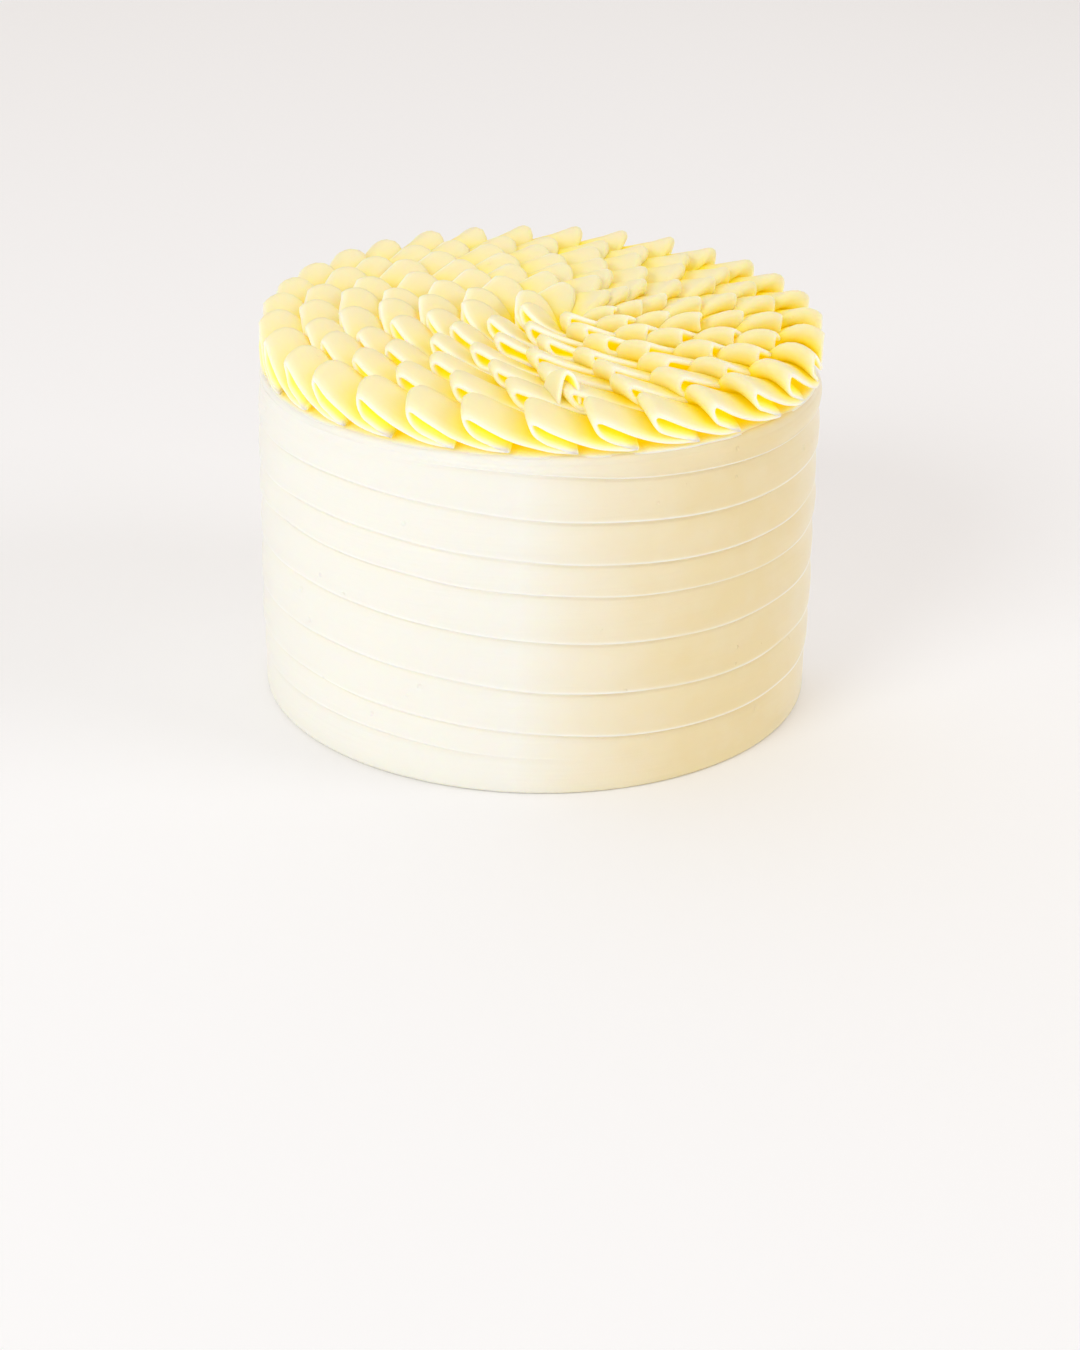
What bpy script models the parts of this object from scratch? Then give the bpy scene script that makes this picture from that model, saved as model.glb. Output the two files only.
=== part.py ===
# Lemon layer cake, iced and finished with rings of piped ruffles.
# Metres, +Z up. The origin is the middle of the underside, and the front of the cake faces -Y.
# The cake is one solid, because it is uncut. Its wall was combed with a spatula on a turntable, which left
# eight bands. Each swells downwards to a lip and steps back in under it, and the lips wander up and down.
# The topping is one solid too. Rings of ribbon, laid to and fro in folds from the rim to the middle, stick to
# each other and to a thin bed of the same yellow icing.

import math
import random

import bmesh
import bpy
import numpy as np
from mathutils import Vector

# The iced cake
BASE_RADIUS = 0.0825
RIM_RADIUS = 0.0816
RIM_HEIGHT = 0.0980
RIM_ROUNDING, RIM_STEPS = 0.0022, 3
FOOT_ROUNDING, FOOT_STEPS = 0.0012, 2
LIP_HEIGHTS = (0.0933, 0.0811, 0.0692, 0.0599, 0.0465, 0.0317, 0.0188)
LIP_PROUD = 0.0006
STEP_BACK = 0.0007
STEP_HEIGHT = 0.0008
TALL_BAND = 0.0115
WALL_SIDES = 52

# How far the lips rise and fall round the cake: once round, and twice round
WANDER_ONCE, WANDER_ONCE_PEAK = 0.0015, math.radians(-150)
WANDER_TWICE, WANDER_TWICE_PEAK = 0.0023, math.radians(-145)

# The rings of ruffles. The ribbon of each goes to and fro: FOLD_PITCH on, with half a fold's overlap each way.
RING_RADII = (0.0821, 0.0689, 0.0578, 0.0462, 0.0361, 0.0260, 0.0145)
RIBBON_WIDTH = 0.0155
CENTRE_GAP = 0.0012
FOLD_PITCH = 0.0145
FOLD_OVERLAP = 0.53
FOLD_PHASE = 0.28
RING_UNDERSIDE = 0.0986

# Where points are set along one fold, as shares of it from the tip, and into how many strips its width is cut
TIP_AT = 0.30
FOLD_STEPS = (0.0, 0.16, 0.32, 0.41, 0.51, 0.64, 0.80)
STRIPS_ACROSS = 2

# Heights of the crests and of the tips of the folds at the ribbon's inner edge, middle and outer edge
RIM_RING_CRESTS = (0.1030, 0.1142, 0.1088)
RIM_RING_TIPS = (0.1010, 0.1020, 0.0996)
INNER_RING_CRESTS = (0.1040, 0.1146, 0.1140)
INNER_RING_TIPS = (0.1015, 0.1030, 0.1030)

# The mouth between the two sheets of each fold, at its outer end
MOUTH_INSET = 0.28
MOUTH_DEPTH = 0.0060
MOUTH_RISE = 0.0012

# The folds are uneven: bigger at the left of the cake, and none quite like the next
FIRST_FOLD = math.radians(-92.0)
BIG_FOLDS_SIDE = math.pi
BIG_FOLDS_SHARE = 0.20
WIDTH_SPREAD = 0.07
HEIGHT_SPREAD = 0.0007
FOLD_SEED = 36

# The bed of yellow icing under the ruffles, with a small heart that fills the middle of the last ring
GAP_TO_CAKE = 0.0003
BED_RADIUS = 0.0792
BED_HEIGHT = 0.0010
BED_SIDES = 48
HEART_RADIUS = 0.0040
HEART_HEIGHT = 0.0120

# The share of its faces that the ruffle topping keeps, because joining the rings leaves needless slivers
KEPT_SHARE = 0.70

CREAM, CREAM_ROUGHNESS = (0.93, 0.87, 0.68, 1.0), 0.45
LEMON, LEMON_ROUGHNESS = (0.96, 0.80, 0.28, 1.0), 0.5
SMOOTH_BELOW = math.radians(40)


def clear_scene():
    for old in list(bpy.data.objects):
        bpy.data.objects.remove(old, do_unlink=True)


def icing(name, colour, roughness):
    material = bpy.data.materials.new(name)
    material.use_nodes = True
    shader = material.node_tree.nodes["Principled BSDF"]
    shader.inputs["Base Color"].default_value = colour
    shader.inputs["Roughness"].default_value = roughness
    shader.inputs["Metallic"].default_value = 0.0
    return material


def place(name, mesh, material, collection):
    mesh.materials.clear()
    mesh.materials.append(material)
    made = bpy.data.objects.new(name, mesh)
    collection.objects.link(made)
    return made


def applied(made):
    """Applies the object's modifiers to its mesh."""
    graph = bpy.context.evaluated_depsgraph_get()
    mesh = bpy.data.meshes.new_from_object(made.evaluated_get(graph))
    made.modifiers.clear()
    made.data = mesh
    return mesh


def turned(name, profile, sides, material, collection):
    """A profile of (radius, height), from the top of the axis down its outer side to the bottom, spun round Z."""
    mesh = bpy.data.meshes.new(name)
    points = [(radius, 0.0, height) for radius, height in profile]
    mesh.from_pydata(points, [(i, i + 1) for i in range(len(points) - 1)], [])
    made = place(name, mesh, material, collection)
    screw = made.modifiers.new("Turn", "SCREW")
    screw.steps = sides
    screw.render_steps = sides
    screw.use_merge_vertices = True
    screw.merge_threshold = 0.00001
    return made


def wall_radius(height):
    return BASE_RADIUS + (RIM_RADIUS - BASE_RADIUS) * height / RIM_HEIGHT


def rounded_corner(radius, height, rounding, first, last, steps):
    """Points round a quarter circle whose middle is at (radius, height)."""
    angles = [math.radians(first + (last - first) * i / steps) for i in range(steps + 1)]
    return [(radius + rounding * math.cos(a), height + rounding * math.sin(a)) for a in angles]


def cake_profile():
    points = [(0.0, RIM_HEIGHT)]
    points += rounded_corner(
        RIM_RADIUS - STEP_BACK - RIM_ROUNDING, RIM_HEIGHT - RIM_ROUNDING, RIM_ROUNDING, 90, 0, RIM_STEPS
    )
    top = points[-1][1]
    for lip in LIP_HEIGHTS:
        middle = 0.5 * (top + lip)
        if top - lip > TALL_BAND:
            points.append((wall_radius(middle), middle))
        points.append((wall_radius(lip) + LIP_PROUD, lip))
        top = lip - STEP_HEIGHT
        points.append((wall_radius(top) - STEP_BACK, top))
    points.append((wall_radius(0.5 * top), 0.5 * top))
    points += rounded_corner(
        BASE_RADIUS - FOOT_ROUNDING, FOOT_ROUNDING, FOOT_ROUNDING, 0, -90, FOOT_STEPS
    )
    points.append((0.0, 0.0))
    return points


def wander(angle):
    """How much higher the lips are at this angle than their average."""
    once = WANDER_ONCE * math.cos(angle - WANDER_ONCE_PEAK)
    twice = WANDER_TWICE * math.cos(2 * (angle - WANDER_TWICE_PEAK))
    return once + twice


def make_cake(collection):
    cream = icing("cream_icing", CREAM, CREAM_ROUGHNESS)
    cake = turned("iced_cake", cake_profile(), WALL_SIDES, cream, collection)
    mesh = applied(cake)
    highest, lowest = LIP_HEIGHTS[0], LIP_HEIGHTS[-1]
    for vertex in mesh.vertices:
        x, y, z = vertex.co
        if math.hypot(x, y) < BASE_RADIUS / 2:
            continue
        # Full wander between the first lip and the last, fading out at the rim and at the foot
        hold = min(1.0, (RIM_HEIGHT - RIM_ROUNDING - z) / (RIM_HEIGHT - RIM_ROUNDING - highest), z / lowest)
        if 0.0 < hold:
            vertex.co.z += wander(math.atan2(y, x)) * hold
    return cake


def arch(across, ends):
    """A smooth line through three values: at the ribbon's inner edge, its middle and its outer edge."""
    inner, middle, outer = ends
    return (
        inner * (1 - across) * (1 - 2 * across)
        + middle * 4 * across * (1 - across)
        + outer * across * (2 * across - 1)
    )


def folds_round(radius):
    return max(4, round(math.tau * (radius - RIBBON_WIDTH / 2 + CENTRE_GAP) / FOLD_PITCH))


def fold_edges(count, share, spread, draw):
    """Angles at which the folds of one ring start, uneven as a hand lays them, and once round in all."""
    widths = []
    for k in range(count):
        side = math.cos(FIRST_FOLD + math.tau * k / count - BIG_FOLDS_SIDE)
        widths.append((1 + share * side) * (1 + spread * draw.uniform(-1, 1)))
    edges = np.concatenate([[0.0], np.cumsum(widths)])
    return edges / edges[-1] * math.tau


def ring_rows(number, radius, draw):
    """Rows of points along one ring, each row from the ring's inner edge to its outer one.

    The ribbon goes to and fro round the cake. From each tip it runs back and up to a crest, turns over there, and
    runs on and down to the next tip, which lies under the next crest.
    """
    count = folds_round(radius)
    rim_ring = number == 1
    edges = fold_edges(count, 0.0 if rim_ring else BIG_FOLDS_SHARE, WIDTH_SPREAD, draw)
    lifts = [draw.uniform(-HEIGHT_SPREAD, HEIGHT_SPREAD) for _ in range(count)]
    crests = RIM_RING_CRESTS if rim_ring else INNER_RING_CRESTS
    tips = RIM_RING_TIPS if rim_ring else INNER_RING_TIPS
    inner_radius = max(CENTRE_GAP, radius - RIBBON_WIDTH)
    start = FIRST_FOLD + draw.uniform(0, math.tau / count) * (not rim_ring)
    rows = []
    for fold in range(count):
        for step in FOLD_STEPS:
            turn = fold + TIP_AT + step
            sway = turn + FOLD_OVERLAP * math.sin(math.tau * turn)
            lift = 0.5 * (1 - math.cos(math.tau * (turn - FOLD_PHASE)))
            lap, part = divmod(sway, count)
            angle = start + math.tau * lap + float(np.interp(part, range(count + 1), edges))
            uneven = lifts[fold] * lift
            row = []
            for strip in range(STRIPS_ACROSS + 1):
                across = strip / STRIPS_ACROSS
                distance = inner_radius + (radius - inner_radius) * across
                low, high = arch(across, tips), arch(across, crests)
                height = low + (high - low) * lift + uneven
                row.append((distance * math.cos(angle), distance * math.sin(angle), height))
            rows.append(row)
    return rows


def outer_wall(ring, run, below, below_next):
    """The outer end of one fold, from tip to tip, with the mouth between its two sheets hollowed to a point."""
    edge = run[1:-1]
    middle = sum((vertex.co for vertex in edge), Vector()) / len(edge)
    mouth = [ring.verts.new(vertex.co.lerp(middle, MOUTH_INSET)) for vertex in edge]
    inwards = Vector((-middle.x, -middle.y, 0.0)).normalized()
    depth = min(MOUTH_DEPTH, middle.xy.length / 2)
    bottom = ring.verts.new(middle + inwards * depth + Vector((0.0, 0.0, MOUTH_RISE)))
    for i in range(len(edge) - 1):
        ring.faces.new((edge[i + 1], edge[i], mouth[i], mouth[i + 1]))
        ring.faces.new((mouth[i + 1], mouth[i], bottom))
    ring.faces.new((mouth[0], mouth[-1], bottom))
    ring.faces.new((run[-1], edge[-1], mouth[-1], mouth[0], edge[0], run[0], below, below_next))


def make_ring(number, radius, draw, material, collection):
    """One ring of folds, solid under its ribbon apart from the mouths of the folds."""
    ring = bmesh.new()
    rows = [[ring.verts.new(point) for point in row] for row in ring_rows(number, radius, draw)]
    steps = len(FOLD_STEPS)
    under = []
    for tip in rows[::steps]:
        under.append([ring.verts.new((end.co.x, end.co.y, RING_UNDERSIDE)) for end in (tip[0], tip[-1])])
    for row, following in zip(rows, rows[1:] + rows[:1]):
        for j in range(STRIPS_ACROSS):
            ring.faces.new((row[j], row[j + 1], following[j + 1], following[j]))
    for fold, (below, below_next) in enumerate(zip(under, under[1:] + under[:1])):
        run = [rows[(fold * steps + i) % len(rows)] for i in range(steps + 1)]
        outer_wall(ring, [row[-1] for row in run], below[1], below_next[1])
        ring.faces.new([row[0] for row in run] + [below_next[0], below[0]])
        ring.faces.new((below[0], below_next[0], below_next[1], below[1]))
    bmesh.ops.triangulate(ring, faces=ring.faces)
    mesh = bpy.data.meshes.new(f"ring_{number}")
    ring.to_mesh(mesh)
    ring.free()
    return place(f"ring_{number}", mesh, material, collection)


def bed_profile():
    floor = RIM_HEIGHT + GAP_TO_CAKE
    return [
        (0.0, floor + HEART_HEIGHT),
        (HEART_RADIUS, floor + BED_HEIGHT),
        (BED_RADIUS, floor + BED_HEIGHT),
        (BED_RADIUS, floor),
        (0.0, floor),
    ]


def keep_outer_skin(mesh):
    """Fills the hollows that the folds shut in and drops loose scraps, by keeping the largest skin alone.

    Points along straight edges go, and faces are cut into triangles, or thinning would leave flaps.
    """
    whole = bmesh.new()
    whole.from_mesh(mesh)
    left = set(whole.faces)
    skins = []
    while left:
        todo = [left.pop()]
        skin = set(todo)
        while todo:
            for edge in todo.pop().edges:
                for face in edge.link_faces:
                    if face in left:
                        left.discard(face)
                        skin.add(face)
                        todo.append(face)
        skins.append(skin)
    largest = max(skins, key=lambda skin: sum(face.calc_area() for face in skin))
    spare = [face for face in whole.faces if face not in largest]
    bmesh.ops.delete(whole, geom=spare, context="FACES")
    bmesh.ops.dissolve_verts(whole, verts=[vertex for vertex in whole.verts if len(vertex.link_edges) == 2])
    bmesh.ops.triangulate(whole, faces=whole.faces, ngon_method="EAR_CLIP")
    whole.to_mesh(mesh)
    whole.free()


def make_ruffles(collection):
    lemon = icing("lemon_icing", LEMON, LEMON_ROUGHNESS)
    draw = random.Random(FOLD_SEED)
    bed = turned("lemon_ruffles", bed_profile(), BED_SIDES, lemon, collection)
    applied(bed)
    rings = bpy.data.collections.new("rings")
    bpy.context.scene.collection.children.link(rings)
    for number, radius in enumerate(RING_RADII, start=1):
        make_ring(number, radius, draw, lemon, rings)
    join = bed.modifiers.new("Join", "BOOLEAN")
    join.operation = "UNION"
    join.operand_type = "COLLECTION"
    join.collection = rings
    join.solver = "MANIFOLD"
    keep_outer_skin(applied(bed))
    thin = bed.modifiers.new("Thin", "DECIMATE")
    thin.ratio = KEPT_SHARE
    thin.use_collapse_triangulate = True
    applied(bed)
    for ring in list(rings.objects):
        bpy.data.objects.remove(ring, do_unlink=True)
    bpy.data.collections.remove(rings)
    return bed


def shade(made):
    made.data.shade_smooth()
    made.data.set_sharp_from_angle(angle=SMOOTH_BELOW)


clear_scene()
parts = bpy.data.collections.new("lemon_cake")
bpy.context.scene.collection.children.link(parts)
shade(make_cake(parts))
shade(make_ruffles(parts))
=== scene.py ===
# Lemon layer cake: cream icing combed into bands round the side, and rings of piped lemon ruffles on top.
# Metres, +Z up. The cake stands on z = 0 with its axis on Z, and its front faces -Y.

import math
import random

import bpy
import numpy as np
from mathutils import Matrix, Vector


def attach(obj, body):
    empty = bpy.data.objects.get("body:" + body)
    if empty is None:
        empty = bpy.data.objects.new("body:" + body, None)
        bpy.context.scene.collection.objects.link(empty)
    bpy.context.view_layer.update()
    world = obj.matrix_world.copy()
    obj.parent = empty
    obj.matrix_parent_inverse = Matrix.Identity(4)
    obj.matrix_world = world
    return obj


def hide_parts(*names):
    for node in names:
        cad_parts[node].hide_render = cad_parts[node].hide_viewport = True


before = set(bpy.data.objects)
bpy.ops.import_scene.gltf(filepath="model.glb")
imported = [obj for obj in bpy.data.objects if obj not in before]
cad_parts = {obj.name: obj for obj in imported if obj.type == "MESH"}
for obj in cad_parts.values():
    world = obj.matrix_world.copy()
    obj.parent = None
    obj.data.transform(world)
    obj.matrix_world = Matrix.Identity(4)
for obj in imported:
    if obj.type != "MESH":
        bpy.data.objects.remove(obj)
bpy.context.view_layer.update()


# Camera
# A long lens in front of the cake, looking down on it at 26 degrees, so that the top shows as a wide oval.

CAMERA_BACK, CAMERA_UP = 0.5893, 0.2859
CAMERA_PITCH, CAMERA_YAW, CAMERA_ROLL = math.radians(26.17), 0.0028, 0.0183
CAMERA_LENS, CAMERA_SENSOR, CAMERA_NEAREST = 56.19, 36.0, 0.01

camera_data = bpy.data.cameras.new("camera")
camera_data.lens = CAMERA_LENS
camera_data.sensor_width = CAMERA_SENSOR
camera_data.clip_start = CAMERA_NEAREST
camera = bpy.data.objects.new("camera", camera_data)
camera.matrix_world = (
    Matrix.Translation((0.0, -CAMERA_BACK, CAMERA_UP))
    @ Matrix.Rotation(-CAMERA_YAW, 4, "Z")
    @ Matrix.Rotation(math.pi / 2 - CAMERA_PITCH, 4, "X")
    @ Matrix.Rotation(CAMERA_ROLL, 4, "Z")
)
bpy.context.scene.collection.objects.link(camera)
bpy.context.scene.camera = camera


# Studio floor and light
# A wide pale floor, a big soft lamp at the front left, a wide one overhead, a weak one on the right, and pale
# light all round.

FLOOR_SIZE, FLOOR_ROUGHNESS = 12.0, 0.9
FLOOR_COLOUR = (0.965, 0.965, 0.985, 1.0)
ROOM_COLOUR, ROOM_LIGHT = (1.0, 0.935, 0.87, 1.0), 0.68
KEY_PLACE, KEY_SIZE, KEY_POWER, KEY_COLOUR = (-1.15, -1.45, 1.1), 1.0, 14.0, (0.86, 0.95, 1.0)
TOP_PLACE, TOP_SIZE, TOP_POWER, TOP_COLOUR = (-0.3, 1.3, 2.0), 3.0, 8.4, (0.93, 0.96, 1.0)
FILL_PLACE, FILL_SIZE, FILL_POWER, FILL_COLOUR = (1.6, -0.4, 1.0), 1.0, 6.4, (0.95, 0.97, 1.0)
LAMP_AIM = (0.0, 0.0, 0.05)

bpy.context.scene.view_settings.view_transform = "Standard"

floor_mesh = bpy.data.meshes.new("floor")
half = FLOOR_SIZE / 2
floor_corners = [(-half, -half, 0), (half, -half, 0), (half, half, 0), (-half, half, 0)]
floor_mesh.from_pydata(floor_corners, [], [(0, 1, 2, 3)])
floor = bpy.data.objects.new("floor", floor_mesh)
bpy.context.scene.collection.objects.link(floor)
floor_paper = bpy.data.materials.new("floor_paper")
floor_paper.use_nodes = True
floor_paper.node_tree.nodes["Principled BSDF"].inputs["Base Color"].default_value = FLOOR_COLOUR
floor_paper.node_tree.nodes["Principled BSDF"].inputs["Roughness"].default_value = FLOOR_ROUGHNESS
floor_mesh.materials.append(floor_paper)

room = bpy.data.worlds.new("room")
room.use_nodes = True
room.node_tree.nodes["Background"].inputs["Color"].default_value = ROOM_COLOUR
room.node_tree.nodes["Background"].inputs["Strength"].default_value = ROOM_LIGHT
bpy.context.scene.world = room


def soft_lamp(name, place, size, power, colour):
    """A round soft lamp that looks at the cake."""
    lamp_data = bpy.data.lights.new(name, "AREA")
    lamp_data.shape = "DISK"
    lamp_data.size = size
    lamp_data.energy = power
    lamp_data.color = colour
    lamp = bpy.data.objects.new(name, lamp_data)
    turned_to_cake = (Vector(place) - Vector(LAMP_AIM)).to_track_quat("Z", "Y").to_matrix().to_4x4()
    lamp.matrix_world = Matrix.Translation(place) @ turned_to_cake
    bpy.context.scene.collection.objects.link(lamp)


soft_lamp("key_lamp", KEY_PLACE, KEY_SIZE, KEY_POWER, KEY_COLOUR)
soft_lamp("top_lamp", TOP_PLACE, TOP_SIZE, TOP_POWER, TOP_COLOUR)
soft_lamp("fill_lamp", FILL_PLACE, FILL_SIZE, FILL_POWER, FILL_COLOUR)


# Icing finish
# Buttercream is fat whipped with sugar: soft satin, faintly see-through, with fine drag marks where the tool
# or the nozzle pulled it, and here and there a burst air bubble. Both icings share these marks as one group.

ICING_SHINE = 0.35
MARK_DEPTH = 0.0002
DRAG_RELIEF, DRAG_SCALE, DRAG_DETAIL = 0.6, 1.0, 3.0
GRAIN_RELIEF, GRAIN_SCALE, GRAIN_DETAIL = 0.12, 2600.0, 2.0
MOTTLE_RELIEF, MOTTLE_SCALE, MOTTLE_DETAIL = 0.25, 90.0, 3.0
BUBBLE_RELIEF, BUBBLE_STEEPNESS = 1.2, 2.0
WIDEST_BUBBLE, BUBBLE_CHANCE = 3.0, 4.0


def join(value, slot):
    """Sets an input of a node, or links it where the value comes from another node."""
    if isinstance(value, Amount):
        slot.id_data.links.new(value.socket, slot)
    else:
        slot.default_value = value


def reckon(tree, operation, *values):
    """A Math node that works out one amount from others."""
    node = tree.nodes.new("ShaderNodeMath")
    node.operation = operation
    for slot, value in zip(node.inputs, values):
        join(value, slot)
    return Amount(node.outputs[0])


class Amount:
    """A number that changes over a surface. A sum written with it becomes Math nodes in its node tree."""

    def __init__(self, socket):
        self.socket = socket
        self.tree = socket.id_data

    def __add__(self, other):
        return reckon(self.tree, "ADD", self, other)

    def __sub__(self, other):
        return reckon(self.tree, "SUBTRACT", self, other)

    def __rsub__(self, other):
        return reckon(self.tree, "SUBTRACT", other, self)

    def __mul__(self, other):
        return reckon(self.tree, "MULTIPLY", self, other)

    def __truediv__(self, other):
        return reckon(self.tree, "DIVIDE", self, other)

    def __rtruediv__(self, other):
        return reckon(self.tree, "DIVIDE", other, self)

    def __pow__(self, other):
        return reckon(self.tree, "POWER", self, other)

    __radd__ = __add__
    __rmul__ = __mul__

    def sine(self):
        return reckon(self.tree, "SINE", self)

    def cosine(self):
        return reckon(self.tree, "COSINE", self)

    def whole(self):
        return reckon(self.tree, "FLOOR", self)

    def size(self):
        return reckon(self.tree, "ABSOLUTE", self)

    def held(self):
        """Kept between 0 and 1."""
        result = reckon(self.tree, "MULTIPLY", self, 1.0)
        result.socket.node.use_clamp = True
        return result


def group_inputs(tree, sockets):
    """Adds inputs to a node group, as {name: (kind of socket, usual value)}, and returns its input node."""
    for name, (kind, usual) in sockets.items():
        made = tree.interface.new_socket(name=name, in_out="INPUT", socket_type="NodeSocket" + kind)
        if usual is not None:
            made.default_value = usual
    return tree.nodes.new("NodeGroupInput")


marks = bpy.data.node_groups.new("Icing marks", "ShaderNodeTree")
marks_in = group_inputs(marks, {
    "Drag coordinates": ("Vector", None),
    "Object coordinates": ("Vector", None),
    "Bubble size": ("Float", 0.003),
    "Bubble share": ("Float", 0.06),
})
for socket_name in ("Height", "Mottle"):
    marks.interface.new_socket(name=socket_name, in_out="OUTPUT", socket_type="NodeSocketFloat")
marks_out = marks.nodes.new("NodeGroupOutput")


def marks_noise(coordinates, scale, detail):
    """An uneven cloudy pattern for the marks."""
    noise = marks.nodes.new("ShaderNodeTexNoise")
    marks.links.new(coordinates, noise.inputs["Vector"])
    noise.inputs["Scale"].default_value = scale
    noise.inputs["Detail"].default_value = detail
    return Amount(noise.outputs[0])


drag = marks_noise(marks_in.outputs["Drag coordinates"], DRAG_SCALE, DRAG_DETAIL)
grain = marks_noise(marks_in.outputs["Object coordinates"], GRAIN_SCALE, GRAIN_DETAIL)
mottle = marks_noise(marks_in.outputs["Object coordinates"], MOTTLE_SCALE, MOTTLE_DETAIL)
cells = marks.nodes.new("ShaderNodeTexVoronoi")
marks.links.new(marks_in.outputs["Object coordinates"], cells.inputs["Vector"])
join(1.0 / Amount(marks_in.outputs["Bubble size"]), cells.inputs["Scale"])
cell_pick = marks.nodes.new("ShaderNodeSeparateColor")
marks.links.new(cells.outputs["Color"], cell_pick.inputs[0])
chosen = reckon(marks, "LESS_THAN", Amount(cell_pick.outputs[0]), Amount(marks_in.outputs["Bubble share"]))
bubble_narrowness = WIDEST_BUBBLE + BUBBLE_CHANCE * Amount(cell_pick.outputs[1])
hollow = (1.0 - Amount(cells.outputs["Distance"]) * bubble_narrowness).held()
bubbles = (hollow * BUBBLE_STEEPNESS).held() * chosen
relief_height = drag * DRAG_RELIEF + grain * GRAIN_RELIEF + mottle * MOTTLE_RELIEF - bubbles * BUBBLE_RELIEF
marks.links.new(relief_height.socket, marks_out.inputs["Height"])
marks.links.new(mottle.socket, marks_out.inputs["Mottle"])


def blended(tree, share, first, second):
    """A colour between two, by a share from 0 to 1."""
    node = tree.nodes.new("ShaderNodeMix")
    node.data_type = "RGBA"
    join(share, node.inputs[0])
    join(first, node.inputs[6])
    join(second, node.inputs[7])
    return Amount(node.outputs[2])


def surface_value(tree, name):
    """A share kept on the mesh as an attribute."""
    node = tree.nodes.new("ShaderNodeAttribute")
    node.attribute_name = name
    return Amount(node.outputs["Fac"])


def icing_material(name, roughness, see_through, soak_depth, soak_colour):
    """A soft icing, as (material, its tree, its shader, its Object coordinates)."""
    material = bpy.data.materials.new(name)
    material.use_nodes = True
    tree = material.node_tree
    shader = tree.nodes["Principled BSDF"]
    shader.inputs["Roughness"].default_value = roughness
    shader.inputs["Specular IOR Level"].default_value = ICING_SHINE
    shader.inputs["Subsurface Weight"].default_value = see_through
    shader.inputs["Subsurface Scale"].default_value = soak_depth
    shader.inputs["Subsurface Radius"].default_value = soak_colour
    return material, tree, shader, tree.nodes.new("ShaderNodeTexCoord").outputs["Object"]


def mark_surface(tree, shader, place, bubble_size, bubble_share, bump):
    """Lays the shared marks on one icing, along its drag attribute, and returns the node that gives them."""
    drag_node = tree.nodes.new("ShaderNodeAttribute")
    drag_node.attribute_name = "drag"
    made = tree.nodes.new("ShaderNodeGroup")
    made.node_tree = marks
    tree.links.new(drag_node.outputs["Vector"], made.inputs["Drag coordinates"])
    tree.links.new(place, made.inputs["Object coordinates"])
    made.inputs["Bubble size"].default_value = bubble_size
    made.inputs["Bubble share"].default_value = bubble_share
    relief = tree.nodes.new("ShaderNodeBump")
    relief.inputs["Strength"].default_value = bump
    relief.inputs["Distance"].default_value = MARK_DEPTH
    tree.links.new(made.outputs["Height"], relief.inputs["Height"])
    tree.links.new(relief.outputs["Normal"], shader.inputs["Normal"])
    return made


# Side icing
# A thick coat of cream-coloured buttercream over the whole cake, combed with a spatula while the turntable
# went round. Each pass left a band that swells down to a thin lip, and the lips wander as the hand did.

BASE_RADIUS, RIM_RADIUS, RIM_HEIGHT = 0.0825, 0.0808, 0.0980
RIM_ROUNDING, RIM_CORNER_STEPS, RIM_UNEVEN = 0.0022, 6, 0.0003
FOOT_ROUNDING, FOOT_CORNER_STEPS, UNDERSIDE_RADIUS = 0.0012, 4, 0.03
TOP_SHARES = (0.02, 0.52, 0.82, 0.95)
WALL_SIDES = 600
WAVE_LEAST, WAVE_FADE = 0.3, 0.6

LIP_HEIGHTS = (0.0933, 0.0811, 0.0692, 0.0599, 0.0465, 0.0317, 0.0188, 0.0113)
LIP_STRENGTH, LIP_UNEVEN, LIP_BELOW_RIM = 0.75, 0.35, 0.0016
WANDER_ONCE, WANDER_ONCE_PEAK = 0.0015, math.radians(-150)
WANDER_TWICE, WANDER_TWICE_PEAK = 0.0023, math.radians(-145)
HAND_WAVER = 0.00028
FAINT_LIP_AT, FAINT_LIP_SPREAD, FAINT_LIP_STRENGTH = math.radians(-135), math.radians(42), 0.6

# Each band, from the lip above it (level 0) down to its own lip (level 1), and the step back under that lip.
BAND_LEVELS = (0.04, 0.10, 0.19, 0.31, 0.45, 0.58, 0.70, 0.80, 0.87, 0.91, 0.94, 0.97, 0.99, 1.0)
BAND_BELLY, BAND_SWELL = 0.0005, 2.4
LIP_PROUD, LIP_BURR, BURR_FROM, BURR_CURVE = 0.0005, 0.0003, 0.91, 1.5
STEP_BACK, STEP_HEIGHT = 0.0008, 0.0012
STEP_LINE = ((0.12, 0.15), (0.35, 0.42), (0.65, 0.78), (1.0, 1.0))
FOOT_LEVELS = (0.15, 0.35, 0.6, 0.85, 1.0)

# Where the painted highlight along a lip and the painted shade in the crease under it begin and end.
LIP_HIGHLIGHT_FROM, LIP_HIGHLIGHT_DOWN = 0.955, 0.35
PAINTED_CREASE_DOWN, PAINTED_CREASE_SHARE, FOOT_SHADE = 0.15, 0.8, 0.5
DRAG_ROUND, DRAG_DOWN, DRAG_IN = 2.0, 900.0, 500.0

# The cream's own colour, and a deeper cream as painted shade towards the front right, where the side turns
# away from the lamps, in mottled patches.
CREAM_LIGHT, CREAM_PAINTED_SHADE = (0.95, 0.92, 0.84, 1.0), (0.86, 0.72, 0.42, 1.0)
# Colours for the painted highlight along each lip and the painted shade in the crease under it, and how
# strong each is.
CREAM_PAINTED_HIGHLIGHT, CREAM_PAINTED_CREASE_SHADE = (1.0, 0.98, 0.92, 1.0), (0.94, 0.83, 0.52, 1.0)
LIP_LIGHT, LIP_SHADE = 1.2, 0.2
PAINTED_SHADE_AT, PAINTED_SHADE_SPREAD, PAINTED_SHADE_MOTTLE = math.radians(-45), 0.34, 0.4

wall_draw = random.Random(5)
around = np.linspace(0.0, math.tau, WALL_SIDES, endpoint=False)
plain_round = np.zeros(WALL_SIDES)


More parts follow.
